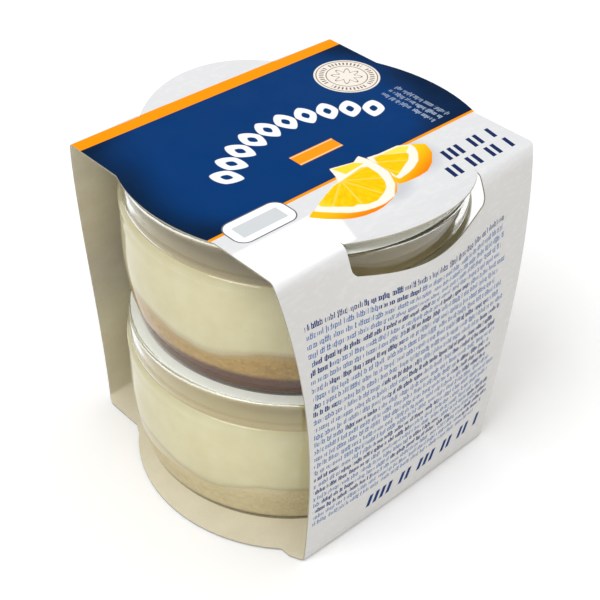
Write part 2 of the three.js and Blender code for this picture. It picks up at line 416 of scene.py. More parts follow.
@dataclass(frozen=True)
class Wedge:
    """One printed citrus wedge, from its peel inwards."""

    whole: Outline
    pith: Outline
    flesh: Outline
    facet: Outline
    hub: Point
    slope: float
    shaded: Point
    peel: tuple[Colour, Colour]
    glint: Colour

    def juice(self, x: Wire, y: Wire) -> Wire:
        """Colour of the yellow flesh, with pale skins that run out from the hub."""
        far, turn = polar(x, y, self.hub)
        cell = (turn + math.radians(33)).work("PINGPONG", math.radians(18.5))
        skin = (cell * far).ramp(0.1, 0.32, 1.0, 0.0)
        fibres = x.sketch.join(turn * 9.0, far * 0.5).noise(1.0, 3.0)
        body = fibres.ramp(0.35, 0.65).mix(paint(255, 190, 0), paint(255, 208, 10))
        return (skin * 0.75).mix(body, paint(255, 214, 92))

    def lay(self, x: Wire, y: Wire, base: Wire) -> Wire:
        """Lay the wedge over the base.

        Args:
            x: The point's place along the panel.
            y: The point's place across it.
            base: Colour under the wedge.

        Returns:
            The colour.
        """
        lit = (y + x * self.slope).ramp(*self.shaded, gentle=True)
        base = self.whole.distance(x, y).fill().mix(base, lit.mix(*self.peel))
        base = self.pith.distance(x, y).fill(0.12).mix(base, paint(255, 240, 226))
        flesh = self.flesh.distance(x, y).fill(0.1)
        base = flesh.mix(base, self.juice(x, y))
        pale = x.ramp(-12.6, -10.6, 1.0, 0.0) * flesh * 0.8
        base = pale.mix(base, paint(244, 222, 70))
        return self.facet.distance(x, y).fill(0.12).mix(base, self.glint)


FRONT_CREST = (
    (-12.8, -17.3), (-9.6, -15.9), (-6.2, -14.5), (-4.9, -14.4), (-3.8, -12.6), (-2.9, -10.0),
    (2.3, -11.3), (4.6, -10.3), (5.2, -12.3))
FRONT_WEDGE = Wedge(
    Outline((-1.0, -18.0), (
        (-17.0, -19.1), *FRONT_CREST, (5.5, -14.7), (5.4, -17.9), (3.4, -21.8), (1.3, -23.7),
        (-1.0, -24.8), (-4.2, -25.6), (-6.4, -25.7), (-9.4, -25.2), (-11.6, -24.3), (-13.7, -22.7),
        (-15.6, -20.9))),
    Outline((-1.0, -18.0), (
        (-15.0, -18.3), *FRONT_CREST, (5.3, -14.7), (5.1, -17.9), (3.0, -21.6), (-0.1, -24.4),
        (-3.1, -25.0), (-5.5, -24.8), (-7.9, -24.2), (-10.3, -23.0), (-13.4, -20.1))),
    Outline((-2.0, -18.0), (
        (-12.9, -17.3), (-6.4, -14.7), (-3.9, -14.4), (2.2, -13.5), (3.3, -14.2), (3.1, -17.2),
        (2.2, -19.7), (0.9, -21.4), (-1.0, -22.5), (-3.6, -23.4), (-5.8, -23.1), (-7.4, -21.9),
        (-8.4, -22.0), (-11.3, -19.5), (-12.9, -18.1))),
    Outline((0.3, -11.9), ((-2.6, -10.4), (2.3, -11.5), (3.6, -12.8), (-1.8, -13.3))),
    (-4.1, -14.3), 0.0, (-26.0, -20.0), (paint(255, 128, 0), paint(255, 190, 10)), paint(255, 218, 52))
BACK_WEDGE = Wedge(
    Outline((9.5, -17.0), (
        (5.4, -11.8), (8.2, -12.3), (13.1, -12.5), (15.9, -14.0), (18.0, -15.6), (17.4, -17.2),
        (16.7, -18.6), (13.8, -21.2), (11.0, -22.6), (8.3, -22.8), (5.2, -22.6), (3.5, -22.2),
        (4.5, -19.0), (5.2, -15.0))),
    Outline((9.5, -17.0), (
        (5.4, -11.8), (8.2, -12.3), (13.1, -12.5), (15.6, -13.9), (15.4, -15.3), (14.4, -16.9),
        (12.4, -18.9), (9.9, -20.1), (7.7, -20.7), (4.9, -21.0), (4.6, -19.0), (5.2, -15.0))),
    Outline((8.6, -16.0), (
        (8.2, -12.7), (12.7, -15.4), (12.7, -16.1), (11.0, -17.6), (9.0, -18.4), (6.1, -19.7),
        (5.0, -20.0), (5.4, -17.9), (5.5, -14.7), (6.5, -12.5))),
    Outline((12.2, -13.9), ((8.6, -12.8), (13.1, -12.9), (14.9, -14.1), (12.8, -15.3))),
    (4.0, -13.0), -0.35, (-27.5, -20.5), (paint(255, 122, 0), paint(255, 200, 12)), paint(255, 228, 84))


@dataclass(frozen=True)
class TopPrint:
    """The fields of colour and plain shapes on the top panel, in millimetres."""

    x: Wire
    y: Wire
    stripe: Point = (25.6, 29.6)
    field: Point = (-12.8, 25.6)
    hairline: float = 0.7
    title_middle: Point = (0.5, -21.0)
    title_radius: float = 29.4
    title_sweep: Point = (math.radians(43), math.radians(138))
    lozenges: float = 10.0
    seal_middle: Point = (25.7, 14.0)
    seal_radius: float = 7.15
    seal_ticks: int = 42
    label_box: tuple[float, float, float, float] = (-6.1, 5.2, -5.6, -2.1)
    bar_box: tuple[float, float, float, float] = (-30.0, -19.4, -16.4, -12.8)
    bar_height: float = 3.3
    upper_spans: tuple[Point, ...] = ((17.0, 22.1), (24.6, 27.8), (30.3, 31.6))
    lower_spans: tuple[Point, ...] = ((13.2, 16.4), (18.9, 22.1), (24.6, 27.8), (30.3, 31.6))
    blue: Colour = paint(0, 54, 112)
    navy: Colour = paint(0, 30, 62)
    orange: Colour = paint(248, 150, 0)
    white: Colour = paint(247, 247, 247)
    ink: Colour = paint(22, 42, 92)

    def box(self, left: float, right: float, low: float, high: float) -> Wire:
        """Distance to an upright box."""
        return self.x.band(left, right).largest(self.y.band(low, high))

    def field_colour(self) -> Wire:
        """Blue that darkens to navy near the panel's ends and corners."""
        across = (self.y - 6.4) / 23.0
        along = self.x / 36.0
        far = (abs(along) ** 1.6).hypot(abs(across) ** 1.8)
        cloud = self.x.sketch.join(self.x, self.y).noise(0.05, 1.0)
        far = far + (cloud - 0.5) * 0.6
        return far.ramp(0.62, 1.12, gentle=True).mix(self.blue, self.navy)

    def title(self) -> Wire:
        """Mask of the arched row of outlined lozenges."""
        far, turn = polar(self.x, self.y, self.title_middle)
        cells = turn.ramp(*self.title_sweep, 0.0, self.lozenges)
        across = abs(cells.fract() - 0.5)
        rise = abs((far - self.title_radius) / 3.3)
        spread = ((across / 0.47) ** 1.5 + rise ** 1.5) ** (1 / 1.5)
        ring = spread.ramp(0.97, 1.03, 1.0, 0.0) - spread.ramp(0.34, 0.4, 1.0, 0.0)
        return ring * turn.band(math.radians(43.2), math.radians(137.8)).fill(0.002)

    def marks(self, rows: Group, base: Wire) -> Wire:
        """Lay the two rows of thick marks and the light rows on the blue field over the base."""
        upper = bars(self.x, self.y + 22.9, self.upper_spans, self.bar_height)
        lower = bars(self.x, self.y + 27.5, self.lower_spans, self.bar_height)
        base = upper.largest(lower).mix(base, self.ink)
        across = self.x - 25.0
        light = self.x.sketch.use(rows, Along=self.y, Down=across, Pitch=2.1, Stroke=0.4, Seed=6.0)
        block = across.band(0.0, 6.3).largest(self.y.band(-10.8, 4.0)).fill()
        return (block * light["Mask"] * 0.62).mix(base, paint(190, 205, 226))

    def seal(self, base: Wire) -> Wire:
        """Lay the round cream seal, with rings, ticks and a plain star, over the base."""
        far, turn = polar(self.x, self.y, self.seal_middle)
        base = (far - self.seal_radius).fill().mix(base, paint(240, 231, 220))
        rings = far.band(6.5, 6.72).fill(0.04).largest(far.band(4.35, 4.55).fill(0.04))
        ticks = (turn * (self.seal_ticks / math.tau)).fract() < 0.42
        skip = (turn * (4 / math.tau)).fract() > 0.12
        ticks = ticks * skip * far.band(5.0, 6.0).fill(0.05)
        edge = (turn * 8.0).work("COSINE") * 0.75 + 2.5
        star = (abs(far - edge) - 0.16).fill()
        return (rings.largest(ticks).largest(star) * 0.9).mix(base, paint(90, 76, 62))

    def label(self, base: Wire) -> Wire:
        """Lay the small orange label with its two white lines over the base."""
        spot = self.box(*self.label_box).fill()
        lines = (1.33 - abs(self.y + 3.85)).fill() * self.y.band(-5.4, -2.3).fill()
        base = spot.mix(base, paint(255, 152, 20))
        return (spot * lines).mix(base, paint(255, 222, 170))

    def badge(self, base: Wire, corner: float = 2.5) -> Wire:
        """Lay the rounded white label near the open front end, with one grey bar, over the base."""
        right = (self.x.band(-31.9, -17.5) + corner).largest(0.0)
        up = (self.y.band(-18.0, -11.0) + corner).largest(0.0)
        far = right.hypot(up) - corner
        base = far.fill().mix(base, paint(252, 252, 252))
        base = (abs(far) - 0.14).fill().mix(base, paint(96, 100, 110))
        return self.box(*self.bar_box).fill().mix(base, paint(206, 210, 212))

    def shade(self) -> Wire:
        """Mask of the soft printed shadow beside the wedges."""
        front = polar(self.x, self.y, (0.6, -19.4))[0].ramp(4.6, 8.2, 0.36, 0.0, gentle=True)
        back = polar(self.x, self.y, (12.4, -17.2))[0].ramp(3.6, 7.6, 0.36, 0.0, gentle=True)
        return front.largest(back)

    def lay(self, base: Wire, rows: Group) -> Wire:
        """Lay the whole print over the paper.

        Args:
            base: Colour of the paper.
            rows: The group that draws rows.

        Returns:
            The colour.
        """
        base = self.shade().mix(base, paint(150, 156, 170))
        band = self.y.band(*self.field)
        base = (band - self.hairline).fill().mix(base, self.orange)
        base = band.fill().mix(base, self.field_colour())
        base = self.y.band(*self.stripe).fill().mix(base, self.orange)
        base = self.title().mix(self.marks(rows, base), self.white)
        base = self.seal(self.label(base))
        for wedge in (BACK_WEDGE, FRONT_WEDGE):
            base = wedge.lay(self.x, self.y, base)
        return self.badge(base)


class Side(Enum):
    """The two side panels of the sleeve, by the sign of their y."""

    FRONT = -1
    BACK = 1


@dataclass(frozen=True)
class BoardPrint:
    """The satin printed face of the board."""

    rough: float = 0.5
    shine: float = 0.03
    # The side panels' two plaster tones are painted darker than the top panel's: painted shade on the sides
    # of the same white board.
    paper: Colour = paint(212, 210, 207)
    side_dim_shaded: Colour = paint(204, 203, 200)
    top_paper: Colour = paint(225, 225, 226)
    top_dim: Colour = paint(218, 219, 220)
    white: Colour = paint(255, 255, 255)
    text: Colour = paint(66, 104, 158)
    bold: Colour = paint(16, 50, 108)
    pitch: float = 1.98
    lines: int = 27
    weight_spans: tuple[Point, ...] = (
        (-11.5, -4.5), (-2.0, 1.2), (3.7, 8.8), (11.3, 14.5), (17.0, 20.2), (22.7, 24.0))

    def side_text(self, rows: Group, place: list[Wire], base: Wire, panel: Side) -> Wire:
        """Lay one side panel's rows of small strokes over the base.

        Args:
            rows: The group that draws rows.
            place: The point's x, y and z.
            base: Colour under the rows.
            panel: Which side panel.

        Returns:
            The colour.
        """
        x, y, z = place
        along = x * -float(panel.value)
        tilt = (62.0 - z) * 0.0008
        down = 63.1 - (z - tilt * (along + 28.0))
        drawn = x.sketch.use(
            rows, Along=along, Down=down, Pitch=self.pitch, Stroke=0.4, Seed=2.0 + panel.value)
        ragged = x.sketch.chance(drawn["Row"], 5.0)[0]
        block = (along > down * 0.055 - 29.9) * (along < ragged * 4.6 + 21.0)
        block = block * down.band(0.0, self.pitch * self.lines).fill()
        block = block * (y * float(panel.value) > 28.9) * (z < 64.0)
        head = abs(down - self.pitch / 2) < self.pitch / 2
        ink = head.largest(drawn["Bold"]).mix(self.text, self.bold)
        return (block * drawn["Mask"]).mix(base, ink)

    def weight_marks(self, place: list[Wire], base: Wire) -> Wire:
        """Lay the thick plain marks under the small rows, on both side panels, over the base."""
        x, y, z = place
        along = x * (y.work("SIGN") * -1.0)
        up = z - (along + 12.0) * 0.05 - 4.6
        mask = bars(along, up, self.weight_spans, 3.5) * (abs(y) > 31.0)
        return mask.mix(base, self.bold)

    def make(self, plaster: Group, rows: Group, grain: Group) -> Material:
        """Build the material.

        Args:
            plaster: The group of the troweled look.
            rows: The group that draws rows.
            grain: The group of fine grain.

        Returns:
            The material.
        """
        material, sketch, shader = material_of("board_print")
        point = sketch.place()
        x, y, z = place = point.split()
        trowel = sketch.use(plaster, Vector=point)
        fibre = sketch.use(grain, Vector=point)
        tone = trowel["Tone"].ramp(-0.7, 0.9)
        # Side panels get the darker tones, which are painted shade, and the top panel gets the lighter ones.
        shaded_sides, top = tone.mix(self.side_dim_shaded, self.paper), tone.mix(self.top_dim, self.top_paper)
        colour = z.ramp(70.0, 73.0).mix(shaded_sides, top)
        # A pure white patch near the front-left corner of the top panel.
        white_patch = (y + 18.9).largest(x - y * 0.378 + 4.2).largest(-29.4 - y)
        above = z > 60.0
        colour = (white_patch.fill(0.5) * above).mix(colour, self.white)
        printed = TopPrint(x, y).lay(colour, rows)
        for panel in Side:
            colour = self.side_text(rows, place, colour, panel)
        colour = self.weight_marks(place, colour)
        level = (abs(y) < 29.02) * above
        sketch.give(shader, Base_Color=level.mix(colour, printed), Specular_IOR_Level=self.shine,
                    Roughness=fibre["Cloud"].ramp(0.3, 0.7, self.rough - 0.08, self.rough + 0.08),
                    Normal=sketch.bump(trowel["Height"] + fibre["Fine"], 0.12, 0.05))
        return material


@dataclass(frozen=True)
class BareBoard:
    """The unprinted inside of the board, and its cut edge."""

    name: str
    light: Colour
    dark: Colour
    rough: float = 0.75

    def make(self, grain: Group) -> Material:
        """Build the material from the fine grain's group."""
        material, sketch, shader = material_of(self.name)
        fibre = sketch.use(grain, Vector=sketch.place().stretch(0.6, 1.0, 1.3))
        share = fibre["Fine"] * 0.4 + fibre["Cloud"] * 0.6
        colour = share.ramp(0.36, 0.64).mix(self.dark, self.light)
        sketch.give(shader, Base_Color=colour, Specular_IOR_Level=0.2,
                    Roughness=share.ramp(0.3, 0.7, self.rough - 0.08, self.rough + 0.08),
                    Normal=sketch.bump(fibre["Fine"], 0.25, 0.06))
        return material


@dataclass(frozen=True)
class ClearFinish:
    """Clear glass or film, which lets lamps through."""

    name: str
    tint: Colour
    bend: float
    rough: float
    clarity: float
    shadow: Colour

    def make(self, grain: Group) -> Material:
        """Build the material from the fine grain's group."""
        material, sketch, shader = material_of(self.name)
        cloud = sketch.use(grain, Vector=sketch.place())["Cloud"]
        sketch.give(shader, Base_Color=self.tint, Transmission_Weight=self.clarity, IOR=self.bend,
                    Roughness=cloud.ramp(0.3, 0.7, self.rough, self.rough * 3),
                    Normal=sketch.bump(cloud, 0.2, 0.3))
        clear = sketch.out(sketch.node("BsdfTransparent", self.shadow))
        shadow_ray = sketch.out(sketch.node("LightPath"), "Is Shadow Ray")
        mixer = sketch.out(sketch.node("MixShader", shadow_ray, sketch.out(shader), clear))
        sketch.give(sketch.tree.nodes["Material Output"], Surface=mixer)
        return material


@dataclass(frozen=True)
class CreamFinish:
    """Smooth baked cream, browned on top, with faint mottling and small pores, whose shade is painted in."""

    name: str = "cream"
    light: Colour = paint(238, 230, 192)
    shade: Colour = paint(232, 222, 180)
    pore_shade: Colour = paint(206, 190, 140)
    baked: Colour = paint(212, 190, 144)
    stained: Colour = paint(206, 190, 150)
    top: float = 27.3
    foot: float = 0.6
    pitch: float = 35.4

    def make(self, grain: Group) -> Material:
        """Build the material from the fine grain's group."""
        material, sketch, shader = material_of(self.name)
        point = sketch.place()
        clouds = sketch.use(grain, Vector=point)
        pore = point.cells(0.55)["Distance"].ramp(0.05, 0.12, 1.0, 0.0)
        colour = clouds["Cloud"].ramp(0.35, 0.65).mix(self.shade, self.light)
        # Pores are painted a little darker: painted shade in the small hollows.
        colour = (pore * 0.2).mix(colour, self.pore_shade)
        seep = sketch.rise() + clouds["Fine"] * -1.2
        colour = seep.ramp(-0.6, 1.2, 0.85, 0.0, gentle=True).mix(colour, self.stained)
        height = (point.split()[2] - self.foot).work("FLOORED_MODULO", self.pitch)
        crust = height.ramp(self.top - 0.9, self.top - 0.4, gentle=True)
        sketch.give(shader, Base_Color=crust.mix(colour, self.baked),
                    Roughness=clouds["Fine"].ramp(0.3, 0.7, 0.38, 0.52),
                    Normal=sketch.bump(clouds["Fine"] - pore, 0.3, 0.1))
        return material


@dataclass(frozen=True)
class CrumbFinish:
    """Moist biscuit crumb, in crumbs of several tones, with painted shade that darkens it towards the cup's
    foot.
    """

    name: str
    pale: Colour
    brown: Colour
    # The foot colour is painted shade, which darkens the crumb over the cup's glass floor.
    foot: Colour
    seam: Colour
    floor: float
    shade_depth: float

    def make(self, grain: Group) -> Material:
        """Build the material from the fine grain's group."""
        material, sketch, shader = material_of(self.name)
        point = sketch.place()
        clouds = sketch.use(grain, Vector=point)
        crumbs = point.cells(1.1)
        tone = crumbs["Color"].split()[0] * 0.45 + clouds["Cloud"] * 0.55
        colour = tone.ramp(0.25, 0.75).mix(self.brown, self.pale)
        ragged = point.split()[2] + clouds["Fine"] * 1.6
        # Painted shade: the crumb darkens towards the cup's foot.
        foot_shade = ragged.ramp(self.floor, self.floor + self.shade_depth, 1.0, 0.0, gentle=True)
        colour = foot_shade.mix(colour, self.foot)
        seep = sketch.rise() + clouds["Fine"]
        sketch.give(shader, Base_Color=seep.ramp(-1.6, 0.6, gentle=True).mix(colour, self.seam),
                    Roughness=tone.ramp(0.2, 0.8, 0.5, 0.8),
                    Normal=sketch.bump(crumbs["Distance"] + clouds["Fine"], 0.6, 0.25))
        return material


class Zone(Enum):
    """The parts of the line round the sleeve's tunnel."""

    BOTTOM = "bottom"
    LOWER_FOLD = "lower fold"
    PANEL = "panel"
    UPPER = "upper"
    TOP = "top"


Station = tuple[Zone, int, float]


def settle(piece: bpy.types.Object, nodes: tuple[str, ...],
           materials: tuple[Material, ...]) -> None:
    """Dress a finished piece, hang it under the body and hide the CAD nodes that it replaces.

    Args:
        piece: The piece.
        nodes: CAD nodes that it replaces.
        materials: Its materials, in slot order.
    """
    piece.data.materials.clear()
    for material in materials:
        piece.data.materials.append(material)
    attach(piece, BODY)
    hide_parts(*nodes)
    LOG.info("%s: %d faces", piece.name, len(piece.data.polygons))


def weld(near: float) -> None:
    """Merge the edited piece's points closer than near millimetres, face it outwards and end the edit."""
    bpy.ops.mesh.select_all(action="SELECT")
    bpy.ops.mesh.remove_doubles(threshold=near * MM)
    bpy.ops.mesh.normals_make_consistent(inside=False)
    bpy.ops.object.mode_set(mode="OBJECT")


def bend(start: Vector, corner: Vector, end: Vector, share: float) -> Vector:
    """Point of a rounded fold between two points."""
    return start.lerp(corner, share).lerp(corner.lerp(end, share), share)


@dataclass(frozen=True)
class Sleeve:
    """The board sleeve: four panels, folds, side windows and tongues, in millimetres."""

    board: float = 0.3
    height: float = 73.2
    top_half_length: float = 35.0
    top_half_width: float = 29.0
    top_end_radius: float = 37.75
    bottom_half_length: float = 27.9
    bottom_half_width: float = 33.2
    shoulder_half_length: float = 29.4
    corner_cut: float = 2.0
    bottom_end_radius: float = 34.4
    bottom_end_centre: Point = (4.7, -4.0)
    end_belly: float = 3.5
    end_skew: float = 0.777
    middle_belly: float = 2.0
    middle_power: float = 0.3
    press_belly: float = 4.2
    press_fall: float = 0.13
    press_spread: float = 0.12
    lean: float = 0.6
    window_half_length: float = 18.2
    window_side: float = 4.0
    window_corner: float = 2.0
    window_middle: float = 8.2
    tongue_half_length: float = 18.1
    tongue_reach: float = 6.6
    tongue_lift: float = math.radians(12)
    fold: float = 0.6
    fold_rows: int = 3
    window_rows: int = 6
    panel_rows: int = 30
    top_rows: int = 28
    bottom_rows: int = 14
    crowding: float = 1.3

    def columns(self) -> list[float]:
        """Places along the tunnel, as shares of the top's half length."""
        straight = self.window_half_length - self.window_corner
        middle = [straight * k / 9 for k in range(9)]
        corner = [straight + self.window_corner * math.sin(math.radians(a)) for a in (0, 30, 52, 68)]
        slit = [self.tongue_half_length, self.window_half_length]
        outer = [lerp(self.window_half_length, self.top_half_length, k / 10) for k in range(1, 11)]
        half = [value / self.top_half_length for value in middle + corner + slit + outer]
        return [-value for value in reversed(half[1:])] + half

    def stations(self) -> list[Station]:
        """The line round the tunnel, from the bottom's middle by the front, as zone, side and step."""
        def half(side: int) -> list[Station]:
            """From the bottom's middle up to the top's edge, on one side."""
            low = [(Zone.BOTTOM, side, k / self.bottom_rows) for k in range(self.bottom_rows + 1)]
            fold = [(Zone.LOWER_FOLD, side, k / 4) for k in (1, 2, 3)]
            panel = [(Zone.PANEL, side, k / self.panel_rows) for k in range(self.panel_rows + 1)]
            upper = [(Zone.UPPER, side, k) for k in range(1, self.fold_rows + self.window_rows + 1)]
            return low + fold + panel + upper
        top = [(Zone.TOP, 1, k / self.top_rows) for k in range(self.top_rows + 1)]
        return half(-1) + top + list(reversed(half(1)))

    def past_window(self, column: float) -> float:
        """Share of the way from the window's end to the panel's end, 0 over the window."""
        gate = self.window_half_length / self.top_half_length
        return min(max((abs(column) - gate) / (1 - gate), 0), 1)

    def face(self, fall: float, along: float, side: int) -> float:
        """Distance of a side panel's outer face from the middle plane.

        Args:
            fall: Share of the way down the panel.
            along: Share of the panel's half length.
            side: Sign of the panel's y.

        Returns:
            The distance in millimetres.
        """
        flat = lerp(self.top_half_width, self.bottom_half_width, fall)
        ends = self.end_belly * math.sin(math.pi * fall ** self.end_skew)
        crown = (4 * fall * (1 - fall)) ** self.middle_power
        swell = 1 - along * along
        fade = math.exp(-(((fall - self.press_fall) / self.press_spread) ** 2))
        press = self.press_belly * swell ** 3 * fade
        return flat + ends + (self.middle_belly + side * self.lean + press) * crown * swell

    def window_depth(self, x: float) -> float:
        """Depth of the window's lower edge below the fold, at a place along it."""
        reach = abs(x)
        straight = self.window_half_length - self.window_corner
        if reach >= self.window_half_length:
            return self.window_side
        if reach >= straight:
            part = (reach - straight) / self.window_corner
            return self.window_side + self.window_corner * math.sqrt(max(1 - part * part, 0))
        low = self.window_side + self.window_corner
        return self.window_middle - (self.window_middle - low) * (reach / straight) ** 2

    def panel_point(self, side: int, column: float, fall: float) -> Vector:
        """Point of a side panel's outer face.

        Args:
            side: Sign of the panel's y.
            column: Place along the tunnel, as a share of the top's half length.
            fall: Share of the way down the panel.

        Returns:
            The point in millimetres.
        """
        share = max(self.past_window(column), smooth(fall, 0.14, 0.5))
        half = self.bottom_half_length + (self.top_half_length - self.bottom_half_length) * (1 - fall) ** 2
        x = column * lerp(self.top_half_length, half, share)
        y = side * self.face(fall, min(abs(x) / half, 1), side)
        return Vector((x, y, lerp(self.height, 0, fall)))

    def top_point(self, y: float, column: float) -> Vector:
        """Point of the top panel, whose ends bulge in the middle."""
        half = self.top_half_length
        if abs(y) < math.sqrt(self.top_end_radius ** 2 - half ** 2):
            half = math.sqrt(self.top_end_radius ** 2 - y * y)
        x = column * lerp(self.top_half_length, half, self.past_window(column))
        return Vector((x, y, self.height))

    def bottom_point(self, y: float, column: float) -> Vector:
        """Point of the bottom panel, whose ends are round."""
        reach = abs(y)
        cut = self.bottom_half_width - self.corner_cut
        if reach >= cut:
            share = (reach - cut) / self.corner_cut
            half = lerp(self.shoulder_half_length, self.bottom_half_length, share)
        else:
            centre, lift = self.bottom_end_centre
            swell = math.sqrt(max(self.bottom_end_radius ** 2 - (y - lift) ** 2, 0))
            half = max(centre + swell, self.shoulder_half_length)
        return Vector((column * half, y, 0))

    def tongue_point(self, side: int, x: float, step: float) -> Vector:
        """Point of a tongue, which rises from the fold line.

        Args:
            side: Sign of the tongue's y.
            x: Place along the fold.
            step: Share of the way from the top panel to the tongue's edge.

        Returns:
            The point in millimetres.
        """
        half, reach = self.tongue_half_length, self.tongue_reach
        radius = (half * half + reach * reach) / (2 * reach)
        depth = math.sqrt(max(radius * radius - x * x, 0)) - (radius - reach)
        out = step * (self.fold + max(depth, 0.02))
        past = max(out - self.fold, 0)
        y = self.top_half_width - self.fold + min(out, self.fold) + past * math.cos(self.tongue_lift)
        return Vector((x, side * y, self.height + past * math.sin(self.tongue_lift)))

    def upper_point(self, side: int, column: float, step: int) -> Vector:
        """Point between the window's lower edge and the top panel, step rows up from that edge."""
        x = column * self.top_half_length
        count = self.fold_rows + self.window_rows + 1
        if abs(x) <= self.tongue_half_length + 1e-6:
            return self.tongue_point(side, x, 1 - (step - 1) / (count - 1))
        window = self.window_depth(x) / self.height
        first = self.fold / self.height
        if step <= self.window_rows:
            return self.panel_point(side, column, lerp(window, first, step / self.window_rows))
        start = self.panel_point(side, column, first)
        corner = self.panel_point(side, column, 0)
        end = self.top_point(side * (self.top_half_width - self.fold), column)
        return bend(start, corner, end, (step - self.window_rows) / (self.fold_rows + 1))

    def point(self, station: Station, column: float) -> Vector:
        """Point of the sleeve's outer face, in millimetres, at a station and a column."""
        zone, side, step = station
        last = 1 - self.fold / self.height
        low_edge = side * (self.bottom_half_width - self.fold)
        if zone is Zone.TOP:
            edge = self.top_half_width - self.fold
            return self.top_point(lerp(-edge, edge, step), column)
        if zone is Zone.BOTTOM:
            return self.bottom_point(low_edge * step, column)
        if zone is Zone.LOWER_FOLD:
            start, corner = self.bottom_point(low_edge, column), self.panel_point(side, column, 1)
            return bend(start, corner, self.panel_point(side, column, last), step)
        if zone is Zone.PANEL:
            window = self.window_depth(column * self.top_half_length) / self.height
            return self.panel_point(side, column, lerp(last, window, 1 - (1 - step) ** self.crowding))
        return self.upper_point(side, column, int(step))

    def doomed(self, station: Station, after: Station, column: float) -> bool:
        """True for a grid face that a window or the slit beside a tongue takes away.

        Args:
            station: Station on one side of the face.
            after: Station on its other side.
            column: Column at the face's middle.

        Returns:
            True if the face goes.
        """
        reach = abs(column) * self.top_half_length
        if reach > self.window_half_length:
            return False
        zones = {station[0], after[0]}
        return zones == {Zone.PANEL, Zone.UPPER} or (reach > self.tongue_half_length and Zone.UPPER in zones)

    def sheet(self) -> bpy.types.Object:
        """Lay a grid round the tunnel, with the windows and slits cut out."""
        stations, columns = self.stations(), self.columns()
        bpy.ops.object.select_all(action="DESELECT")
        bpy.ops.mesh.primitive_grid_add(
            x_subdivisions=len(stations) - 1, y_subdivisions=len(columns) - 1, size=2)
        piece = bpy.context.object
        piece.name = piece.data.name = "printed_sleeve"
        mesh = piece.data

        def spot(place: Vector) -> Point:
            """Station and column numbers of a place on the flat grid."""
            return ((place.x + 1) / 2 * (len(stations) - 1), (place.y + 1) / 2 * (len(columns) - 1))

        for part in (mesh.vertices, mesh.edges, mesh.polygons):
            for item in part:
                item.select = False
        for polygon in mesh.polygons:
            across, along = (int(number) for number in spot(polygon.center))
            middle = (columns[along] + columns[along + 1]) / 2
            polygon.select = self.doomed(stations[across], stations[across + 1], middle)
        bpy.ops.object.mode_set(mode="EDIT")
        bpy.ops.mesh.select_mode(type="FACE")
        bpy.ops.mesh.delete(type="FACE")
        bpy.ops.object.mode_set(mode="OBJECT")
        for vertex in mesh.vertices:
            across, along = (round(number) for number in spot(vertex.co))
            vertex.co = self.point(stations[across], columns[along]) * MM
        bpy.ops.object.mode_set(mode="EDIT")
        bpy.ops.mesh.select_mode(type="VERT")
        weld(0.002)
        highest = max(mesh.polygons, key=lambda p: p.center.z if abs(p.center.y) < 0.02 else -1)
        if highest.normal.z < 0:
            bpy.ops.object.mode_set(mode="EDIT")
            bpy.ops.mesh.select_all(action="SELECT")
            bpy.ops.mesh.flip_normals()
            bpy.ops.object.mode_set(mode="OBJECT")
        return piece

    def build(self, finishes: tuple[Material, ...]) -> None:
        """Give the sheet the board's thickness and dress it: print, inside and cut edge."""
        piece = self.sheet()
        for material in finishes:
            piece.data.materials.append(material)
        wall = piece.modifiers.new("board", "SOLIDIFY")
        wall.thickness = self.board * MM
        wall.offset = -1
        wall.material_offset = 1
        wall.material_offset_rim = 2
        bpy.ops.object.modifier_apply(modifier=wall.name)
        marks = [polygon.material_index for polygon in piece.data.polygons]
        bpy.ops.object.shade_smooth_by_angle(angle=math.radians(35))
        settle(piece, ("sleeve",), finishes)
        for polygon, mark in zip(piece.data.polygons, marks):
            polygon.material_index = mark


def arc(middle: Point, radius: float, start: float, end: float, count: int) -> list[Point]:
    """Points on part of a circle.

    Args:
        middle: The circle's middle.
        radius: Its radius.
        start: Direction of the first point, in degrees.
        end: Direction of the last point.
        count: Number of points.

    Returns:
        The points.
    """
    turns = [math.radians(lerp(start, end, k / (count - 1))) for k in range(count)]
    return [(middle[0] + radius * math.cos(turn), middle[1] + radius * math.sin(turn)) for turn in turns]


